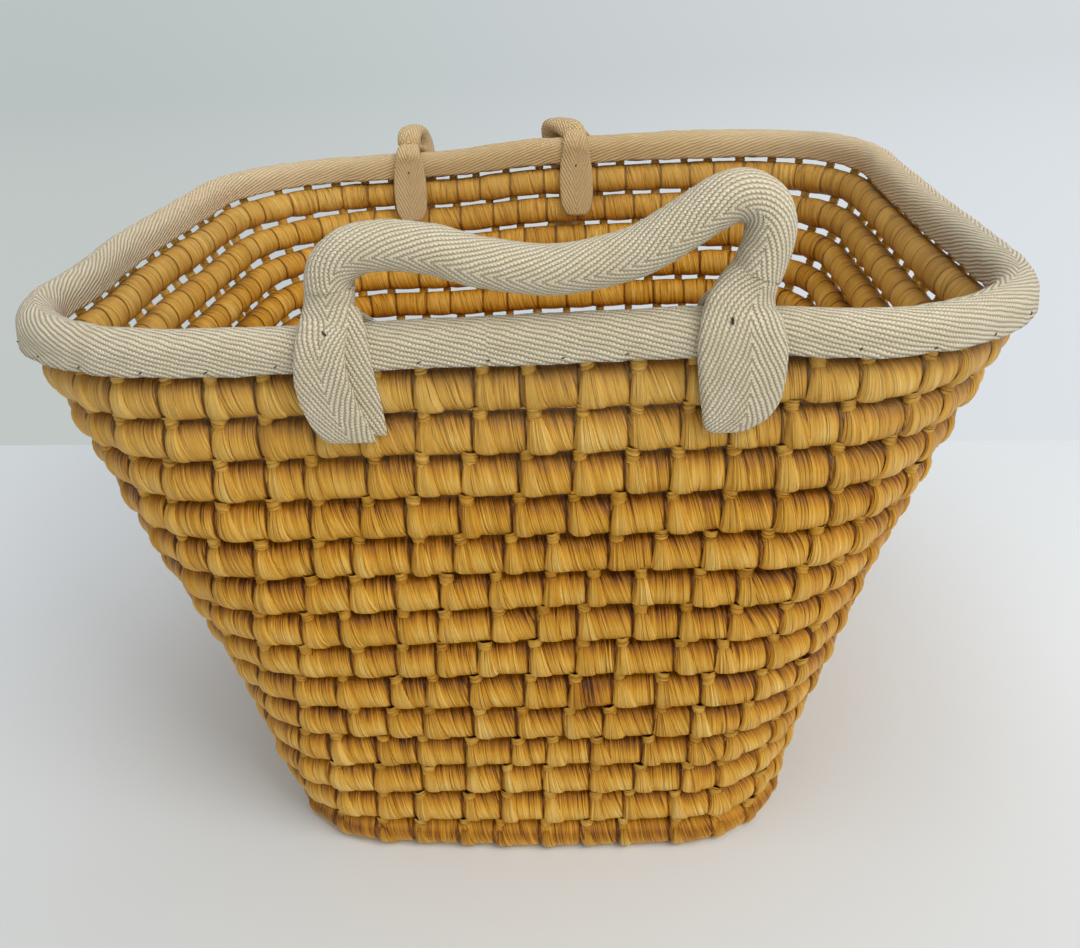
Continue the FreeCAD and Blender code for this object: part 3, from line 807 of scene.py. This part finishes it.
def strap(name, stations, material, sides=32, step=1.6, spine=0.0, rope=None, lumpy=0.18):
    """A strap through stations of x, y, z, half width, half thickness, squareness and facing x, y, z, all mm.

    A station of no width and thickness closes an end."""
    rows = smooth_path(stations, step)
    clear_selection()
    bpy.ops.mesh.primitive_grid_add(x_subdivisions=len(rows) - 1, y_subdivisions=sides, size=1)
    piece = bpy.context.object
    piece.name = name
    mesh = piece.data
    rings = []
    travelled = 0.0
    for number, row in enumerate(rows):
        centre = Vector(row[:3])
        ahead = Vector(rows[min(number + 1, len(rows) - 1)][:3]) - Vector(rows[max(number - 1, 0)][:3])
        ahead.normalize()
        face = Vector(row[6:9])
        face = (face - ahead * face.dot(ahead)).normalized()
        side = ahead.cross(face)
        if row[5] < 0.7:
            side = Vector((math.copysign(1, side.x), 0, 0))
        if number:
            travelled += (centre - Vector(rows[number - 1][:3])).length
        lobes = (rope[0], rope[1], 2 * math.pi * travelled / rope[2]) if rope else (0.0, 1, 0.0)
        section = ring_outline(max(row[3], 0.0), max(row[4], 0.0), row[5], sides, lobes)
        rings.append((centre, side, face, section, travelled))
    uvs = []
    for vertex in mesh.vertices:
        column = round((vertex.co.x + 0.5) * (len(rows) - 1))
        spot = round((vertex.co.y + 0.5) * sides)
        centre, side, face, section, along = rings[column]
        across, proud, round_about = section[spot]
        place = centre + side * across + face * proud
        small = (noise.noise(place * 0.16 + Vector((0, 0, 9))) * lumpy
                 + noise.noise(place * 0.45) * lumpy * 0.5)
        if section[sides // 2][1] > 0.05:
            place += (side * across + face * proud).normalized() * small
        vertex.co = place * MM
        uvs.append((round_about - spine, along))
    set_uv(mesh, "weave", uvs)
    merge_seams(0.00002)
    clear_selection()
    piece.select_set(True)
    bpy.context.view_layer.objects.active = piece
    bpy.ops.object.shade_smooth_by_angle(angle=math.radians(55))
    piece.data.materials.clear()
    piece.data.materials.append(material)
    return piece


def kept(piece, body, slot, *nodes):
    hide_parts(*nodes)
    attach(piece, body)
    return piece


FRONT = (0, -1, 0)
BACKWARD = (0, 1, 0)
TUBE = 8.6
CORE = 6.2
ROPE_LAY = (0.09, 3, 26.0)
ROPE_LUMPS = 0.05
FRONT_PLANE = -136.6

# centre line of the front sleeve, mm: x, z
SLEEVE_LINE = [(-51.8, 262), (-51.6, 266), (-48.5, 271.5), (-41, 275.6), (-29.5, 276.4), (-16, 274.5),
               (-2.5, 270.2),
               (12.5, 267.4), (23, 266.5), (35, 267.7), (50, 271.4), (62.5, 277.8), (74, 285), (82, 288.0),
               (88.5, 286.0), (91.8, 281.0), (92.0, 274.5), (90.2, 268), (88.0, 262)]


def closed_ends(stations):
    """The same stations with each end drawn shut."""
    first, last = list(stations[0]), list(stations[-1])
    first[3] = first[4] = last[3] = last[4] = 0.0
    return [tuple(first)] + list(stations) + [tuple(last)]


# each tube ends in a narrower stub inside the neck, so that the neck stays filled
sleeve = strap("front_handle_tube", closed_ends(
    [(-51.8, -138.4, 260.2, 6.0, 5.4, 1.0, *FRONT)]
    + [(x, FRONT_PLANE, z, TUBE * 0.97, TUBE, 1.0, *FRONT) for x, z in SLEEVE_LINE]
    + [(87.2, -138.4, 260.2, 6.0, 5.4, 1.0, *FRONT)]), STRAP_UP, spine=-2.0)
kept(sleeve, "front_handle", "cotton_tape", "front_handle_sleeve")
core = strap("front_handle_rope", closed_ends(
    [(x, FRONT_PLANE, z, CORE, CORE, 1.0, *FRONT) for x, z in SLEEVE_LINE[1:-1]]), ROPE, rope=ROPE_LAY,
    lumpy=ROPE_LUMPS)
kept(core, "front_handle", "rope", "front_handle_rope_core")


def front_end(side, stations, inner, material, spine, nodes, second=None):
    """One end of the front handle: the tube opens into an outer leaf and an inner leaf behind it."""
    outer = strap("front_handle_%s_end" % side, stations, material, spine=spine)
    if second:
        fold = strap("front_handle_%s_fold" % side, second, material, spine=9.0, sides=24)
        clear_selection()
        fold.select_set(True)
        outer.select_set(True)
        bpy.context.view_layer.objects.active = outer
        bpy.ops.object.join()
    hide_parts(*nodes[:2])
    back = strap("front_handle_%s_inner" % side, inner, material, spine=2.0)
    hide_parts(nodes[2])
    for piece in (outer, back):
        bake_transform(piece)


front_end("left", [
    (-51.8, -136.6, 262.4, 0, 0, 1.0, *FRONT), (-51.8, -136.6, 262.4, 8.4, 8.6, 1.0, *FRONT),
    (-52.2, -138.4, 258, 8.4, 7.4, 0.9, *FRONT), (-52.8, -141.8, 253, 8.8, 5.2, 0.8, *FRONT),
    (-54.6, -146.4, 248, 8.6, 3.2, 0.62, *FRONT), (-55.6, -148.2, 242, 8.7, 2.3, 0.5, *FRONT),
    (-55.7, -148.6, 236, 9.2, 1.9, 0.42, *FRONT), (-55.0, -148.4, 229, 9.8, 1.8, 0.4, *FRONT),
    (-53.3, -148.0, 222, 10.0, 1.7, 0.4, *FRONT), (-51.3, -147.5, 216.5, 10.0, 1.6, 0.4, *FRONT),
    (-49.7, -147.0, 213, 9.2, 1.5, 0.45, *FRONT), (-48.7, -146.8, 211.4, 8.4, 1.2, 0.5, *FRONT),
    (-48.1, -146.7, 210.8, 7.6, 0.0, 0.5, *FRONT)],
    [(-53.0, -136.0, 262, 0, 0, 1.0, *BACKWARD), (-53.0, -136.0, 262, 3.4, 3.4, 1.0, *BACKWARD),
     (-54.6, -133.6, 259, 4.0, 2.8, 0.8, *BACKWARD), (-54.0, -129.6, 254.5, 5.6, 2.0, 0.6, *BACKWARD),
     (-49.0, -126.4, 247, 9.6, 1.6, 0.45, *BACKWARD), (-46.0, -125.6, 236, 10.4, 1.4, 0.4, *BACKWARD),
     (-46.4, -124.9, 222, 10.2, 1.4, 0.4, *BACKWARD), (-46.4, -124.4, 213, 9.0, 1.3, 0.45, *BACKWARD),
     (-46.4, -124.2, 209.6, 6.6, 0.0, 0.5, *BACKWARD)],
    STRAP_DOWN, 0.5,
    ("front_handle_neck_left", "front_handle_outer_leaf_left", "front_handle_inner_leaf_left"),
    second=[(-47.5, -139.0, 259, 0, 0, 0.6, *FRONT), (-47.0, -140.5, 257, 5.0, 2.4, 0.6, *FRONT),
            (-46.0, -143.6, 251, 6.4, 1.7, 0.5, *FRONT), (-46.0, -145.2, 244, 7.0, 1.4, 0.45, *FRONT),
            (-46.0, -145.7, 236, 7.6, 1.2, 0.4, *FRONT), (-45.6, -145.6, 226, 8.4, 1.1, 0.4, *FRONT),
            (-45.2, -145.3, 217, 8.6, 1.1, 0.4, *FRONT), (-44.8, -145.0, 213.4, 8.2, 1.0, 0.42, *FRONT),
            (-44.6, -145.0, 212.6, 7.8, 0.0, 0.5, *FRONT)])

front_end("right", [
    (88.0, -136.6, 262.4, 0, 0, 1.0, *FRONT), (88.0, -136.6, 262.4, 8.4, 8.6, 1.0, *FRONT),
    (85.2, -138.6, 258, 10.0, 7.0, 0.9, *FRONT), (83.2, -142.2, 253, 12.0, 4.9, 0.75, *FRONT),
    (83.2, -145.6, 248, 13.6, 3.1, 0.6, *FRONT), (83.6, -147.0, 242, 14.5, 2.2, 0.5, *FRONT),
    (83.7, -147.3, 236, 14.5, 1.9, 0.42, *FRONT), (83.7, -147.1, 229, 14.0, 1.8, 0.4, *FRONT),
    (83.4, -146.7, 222.5, 13.1, 1.7, 0.4, *FRONT), (82.2, -146.3, 217, 11.2, 1.6, 0.4, *FRONT),
    (80.4, -146.1, 214, 9.0, 1.5, 0.45, *FRONT), (79.3, -146.0, 212, 6.4, 1.2, 0.5, *FRONT),
    (78.8, -146.0, 211, 4.4, 0.0, 0.5, *FRONT)],
    [(86.0, -136.0, 262, 0, 0, 1.0, *BACKWARD), (86.0, -136.0, 262, 3.4, 3.4, 1.0, *BACKWARD),
     (83.4, -133.6, 259, 4.6, 2.8, 0.8, *BACKWARD), (80.4, -129.6, 254.5, 7.6, 2.0, 0.6, *BACKWARD),
     (79.6, -126.4, 247, 10.3, 1.6, 0.45, *BACKWARD), (81.0, -125.6, 236, 10.4, 1.4, 0.4, *BACKWARD),
     (81.6, -124.9, 222, 10.2, 1.4, 0.4, *BACKWARD), (81.6, -124.4, 213, 9.0, 1.3, 0.45, *BACKWARD),
     (81.6, -124.2, 209.6, 6.6, 0.0, 0.5, *BACKWARD)],
    STRAP_UP, 2.6,
    ("front_handle_neck_right", "front_handle_outer_leaf_right", "front_handle_inner_leaf_right"))

# ------------------------------------------------------------------ back handle, hanging outside

BACK_LEAN = 0.216


def back_inner_leaf(side, x, drop):
    def wall_y(z):
        return 203.2 - (247 - z) * BACK_LEAN

    stations = [(x, 211.5, 258.6 - drop, 0, 0, 0.8, *FRONT), (x, 210.5, 258.0 - drop, 6.0, 2.6, 0.8, *FRONT),
                (x, 206.2, 256.6 - drop, 7.2, 2.6, 0.7, *FRONT),
                (x, 203.0, 252 - drop * 0.6, 7.8, 2.4, 0.6, *FRONT),
                (x, wall_y(246) - 0.4, 246, 8.8, 1.9, 0.5, *FRONT),
                (x, wall_y(238), 238, 10.0, 1.7, 0.42, *FRONT),
                (x, wall_y(228), 228, 10.4, 1.6, 0.4, *FRONT), (x, wall_y(219), 219, 9.8, 1.6, 0.4, *FRONT),
                (x, wall_y(213.5), 213.5, 8.0, 1.5, 0.45, *FRONT),
                (x, wall_y(211), 211, 5.6, 1.2, 0.5, *FRONT),
                (x, wall_y(210.4), 210.4, 4.4, 0.0, 0.5, *FRONT)]
    return kept(strap("back_handle_%s_inner" % side, stations, STRAP_DOWN), "basket", "cotton_tape",
                "back_handle_inner_leaf_%s" % side)


def back_outer_leaf(side, x, drop):
    stations = [(x, 212.5, 258.6 - drop, 0, 0, 0.8, *BACKWARD),
                (x, 213.5, 258.0 - drop, 6.0, 2.6, 0.8, *BACKWARD),
                (x, 218.0, 256.0 - drop, 8.5, 2.2, 0.7, *BACKWARD),
                (x, 221.0, 251.5 - drop * 0.6, 10.8, 1.8, 0.6, *BACKWARD),
                (x, 221.9, 245, 12.4, 1.4, 0.5, *BACKWARD), (x, 221.7, 236, 13.4, 1.3, 0.42, *BACKWARD),
                (x, 220.8, 226, 13.4, 1.3, 0.4, *BACKWARD), (x, 219.6, 217, 12.0, 1.3, 0.4, *BACKWARD),
                (x, 219.0, 212.5, 9.6, 1.2, 0.45, *BACKWARD), (x, 218.8, 210.4, 6.4, 1.0, 0.5, *BACKWARD),
                (x, 218.8, 209.8, 5.0, 0.0, 0.5, *BACKWARD)]
    return kept(strap("back_handle_%s_outer" % side, stations, STRAP_DOWN), "basket", "cotton_tape",
                "back_handle_outer_leaf_%s" % side)


def back_neck(side, xs):
    """The tube that rises from the two leaves, arches over the rim and goes down behind it."""
    path = [(212.1, 252.0, 5.0, 3.0, (0, -1, 0.1)), (211.6, 256.2, 7.2, 3.8, (0, -1, 0.2)),
            (213.6, 259.8, 7.4, 4.0, (0, -0.8, 0.6)), (217.8, 261.6, 7.4, 4.2, (0, -0.35, 0.93)),
            (223.2, 261.8, 7.5, 4.4, (0, 0.15, 1)), (228.6, 259.8, 7.7, 5.0, (0, 0.7, 0.7)),
            (231.7, 255.4, 8.0, 6.2, (0, 0.95, 0.3)), (232.1, 249.5, 8.4, 7.6, (0, 1, 0)),
            (232.1, 243.0, 8.6, 8.6, (0, 1, 0))]
    stations = [(x, y, z, a, b, 0.92, *face) for x, (y, z, a, b, face) in zip(xs, path)]
    piece = strap("back_handle_%s_neck" % side, closed_ends(stations), STRAP_DOWN)
    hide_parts("back_handle_neck_%s" % side)
    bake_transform(piece)
    return piece


BACK_PLANE = 232.1
HANG_LINE = [(-81.5, 243), (-83.6, 232), (-85.4, 220), (-84.2, 207), (-78, 194), (-66, 184.6), (-50, 180.6),
             (-32, 180.0), (-14, 182.0), (1, 188.4), (11, 199), (15.4, 211), (15.6, 222), (12.4, 233),
             (8.0, 243)]
back_inner_leaf("left", -85.5, 3.5)
back_inner_leaf("right", 19.5, 0.0)
back_outer_leaf("left", -85.5, 3.5)
back_outer_leaf("right", 19.5, 0.0)
back_neck("left", [-85.5, -85.5, -85.5, -85.2, -84.6, -83.4, -82.4, -81.8, -81.5])
back_neck("right", [19.5, 19.0, 17.0, 13.0, 8.4, 5.4, 5.0, 6.4, 8.0])
hanging = strap("back_handle_tube", closed_ends(
    [(-81.6, BACK_PLANE, 244.8, 6.0, 5.4, 1.0, *BACKWARD)]
    + [(x, BACK_PLANE, z, TUBE, TUBE, 1.0, *BACKWARD) for x, z in HANG_LINE]
    + [(7.7, BACK_PLANE, 244.8, 6.0, 5.4, 1.0, *BACKWARD)]), STRAP_UP)
kept(hanging, "back_handle", "cotton_tape", "back_handle_sleeve")
hanging_core = strap("back_handle_rope", closed_ends(
    [(x, BACK_PLANE, z, CORE, CORE, 1.0, *BACKWARD) for x, z in HANG_LINE[1:-1]]), ROPE, rope=ROPE_LAY,
    lumpy=ROPE_LUMPS)
kept(hanging_core, "back_handle", "rope", "back_handle_rope_core")

# ------------------------------------------------------------------ thread

def thread_stitches(name, places, length, radius, material, *nodes):
    """Short bent stitches of thread: each place is a point, the way the stitch runs and the way it faces."""
    clear_selection()
    bpy.ops.mesh.primitive_grid_add(x_subdivisions=6, y_subdivisions=6, size=1)
    piece = bpy.context.object
    piece.name = name
    array = piece.modifiers.new("stitches", "ARRAY")
    array.count = len(places)
    array.use_relative_offset = False
    bpy.ops.object.modifier_apply(modifier=array.name)
    mesh = piece.data
    each = len(mesh.vertices) // len(places)
    for vertex in mesh.vertices:
        point, way, face = places[vertex.index // each]
        side = way.cross(face)
        share = vertex.co.x * 2
        angle = 2 * math.pi * vertex.co.y
        thick = radius * (1 - abs(share) ** 4)
        sink = radius * 1.6 * share * share
        vertex.co = (point + way * (share * length / 2) + side * (thick * math.cos(angle))
                     + face * (thick * math.sin(angle) + radius * 0.3 - sink))
    merge_seams(0.000005)
    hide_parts(*nodes)
    return finish_piece(piece, material)


def rim_thread_places(rim):
    dice = random.Random(5)
    count = round(rim.outline.total / THREAD_EVERY)
    places = []
    for number in range(count):
        along = number * rim.outline.total / count + dice.uniform(-1.5, 1.5) * MM
        point, outward = rim.outline.at(along)
        drop = -OUTER_SKIRT * dice.uniform(0.52, 0.74)
        spot = settle(point + outward * (TAPE_RADIUS + 0.65 * MM) + UP * (rim.height + drop))
        way = outward.cross(UP)
        way = (way + UP * dice.uniform(-0.9, -0.3)).normalized()
        places.append((spot, way, outward))
    return places


rim = wall_turns[-1]
rim_binding(rim)
thread_stitches("rim_thread", rim_thread_places(rim), 1.7 * MM, 0.24 * MM, THREAD, "rim_sewing_thread")


def tack_places(spots, face):
    return [(Vector((x, y, z)) * MM, Vector((tilt, 0, -1)).normalized(), Vector(face))
            for x, y, z, tilt in spots]


front_tacks = tack_places([(-52.4, -148.4, 250.8, 0.9), (80.0, -148.4, 250.8, 0.1)], FRONT)
back_tacks = tack_places([(-85.5, 200.1, 240, 0.3), (19.5, 200.1, 240, -0.3)], FRONT)
thread_stitches("front_handle_tacks", front_tacks, 3.0 * MM, 0.5 * MM, THREAD, "front_handle_tack_thread")
thread_stitches("back_handle_tacks", back_tacks, 3.0 * MM, 0.5 * MM, THREAD, "back_handle_tack_thread")

# ------------------------------------------------------------------ table, backdrop, light and camera

CAMERA_AT = (0.0435, -0.475, 0.3584)
LENS = 35.3
TABLE_EDGE = (0.3122, 0.3137)
TABLE_SLOPE = 0.045


def table_and_backdrop():
    """A white table top, painted lighter towards the back and right as painted light; beyond its back edge
    lies the pale grey-blue backdrop, which glows by emission and is painted darker to the left and further
    off.
    """
    material, tree, shader = new_material("white_table_and_backdrop")
    position = object_place(tree)
    x, y = position, position.part("Y")
    beyond = smooth(y + x * TABLE_SLOPE, *TABLE_EDGE)
    # painted light: the table is darker towards the front left and lighter towards the back right
    table = blend_colour(tree, smooth(x * 0.2 + y, -0.36, 0.10), (0.63, 0.65, 0.645), (0.86, 0.895, 0.915))
    feed(tree, shader, "Base Color", blend_colour(tree, beyond, table, (0, 0, 0)))
    # the backdrop glows by emission; painted light and shade make it darker to the left and further off
    swing = (x - CAMERA_AT[0]) / (y - CAMERA_AT[1])
    far = smooth(y, 0.3, 3.5)
    near_colour = blend_colour(tree, smooth(swing, -0.55, 0.55), (0.51, 0.545, 0.53), (0.71, 0.745, 0.785))
    far_colour = blend_colour(tree, smooth(swing, -0.55, 0.55), (0.44, 0.485, 0.48), (0.62, 0.655, 0.68))
    feed(tree, shader, "Emission Color",
         blend_colour(tree, beyond, (0, 0, 0), blend_colour(tree, far, near_colour, far_colour)))
    shader.inputs["Emission Strength"].default_value = 1.0
    shader.inputs["Roughness"].default_value = 0.5
    shader.inputs["Specular IOR Level"].default_value = 0.25
    return material


bpy.ops.mesh.primitive_plane_add(size=600, location=(0, 0, 0))
floor = bpy.context.object
floor.name = "floor"
floor.data.materials.append(table_and_backdrop())


def area_light(name, place, target, size, power, colour):
    data = bpy.data.lights.new(name, "AREA")
    data.shape = "RECTANGLE"
    data.size, data.size_y = size
    data.energy = power
    data.color = colour
    lamp = bpy.data.objects.new(name, data)
    bpy.context.collection.objects.link(lamp)
    lamp.location = place
    lamp.rotation_euler = (Vector(target) - Vector(place)).to_track_quat("-Z", "Y").to_euler()
    return lamp


area_light("window_light", (1.3, -1.1, 1.6), (0, 0, 0.1), (1.3, 1.3), 26, (1.0, 0.985, 0.965))
area_light("ceiling_light", (-0.1, -0.1, 2.2), (0, 0.05, 0), (1.8, 1.8), 17.5, (0.97, 0.985, 1.0))
area_light("fill_light", (-1.5, -1.0, 0.9), (0, 0, 0.1), (1.4, 1.4), 2.0, (0.96, 0.98, 1.0))
area_light("front_light", (0.35, -1.5, 0.55), (0, 0, 0.12), (0.9, 0.6), 3.3, (1.0, 0.985, 0.96))

world = bpy.data.worlds.new("soft_room")
bpy.context.scene.world = world
world.use_nodes = True
background = world.node_tree.nodes["Background"]
background.inputs["Color"].default_value = (0.90, 0.93, 0.96, 1)
background.inputs["Strength"].default_value = 0.36

bpy.context.scene.view_settings.view_transform = "Standard"

camera_data = bpy.data.cameras.new("camera")
camera = bpy.data.objects.new("camera", camera_data)
bpy.context.collection.objects.link(camera)
camera_data.sensor_width = 36
camera_data.lens = LENS
camera_data.clip_start = 0.01
YAW, PITCH, ROLL = 0.085, 0.4545, -0.0585
ahead = Vector((-math.sin(YAW) * math.cos(PITCH), math.cos(YAW) * math.cos(PITCH), -math.sin(PITCH)))
right = Vector((math.cos(YAW), math.sin(YAW), 0))
above = right.cross(ahead)
rolled_right = right * math.cos(ROLL) + above * math.sin(ROLL)
rolled_above = above * math.cos(ROLL) - right * math.sin(ROLL)
turned = Matrix((rolled_right, rolled_above, -ahead)).transposed()
camera.matrix_world = Matrix.Translation(CAMERA_AT) @ turned.to_4x4()
bpy.context.scene.camera = camera
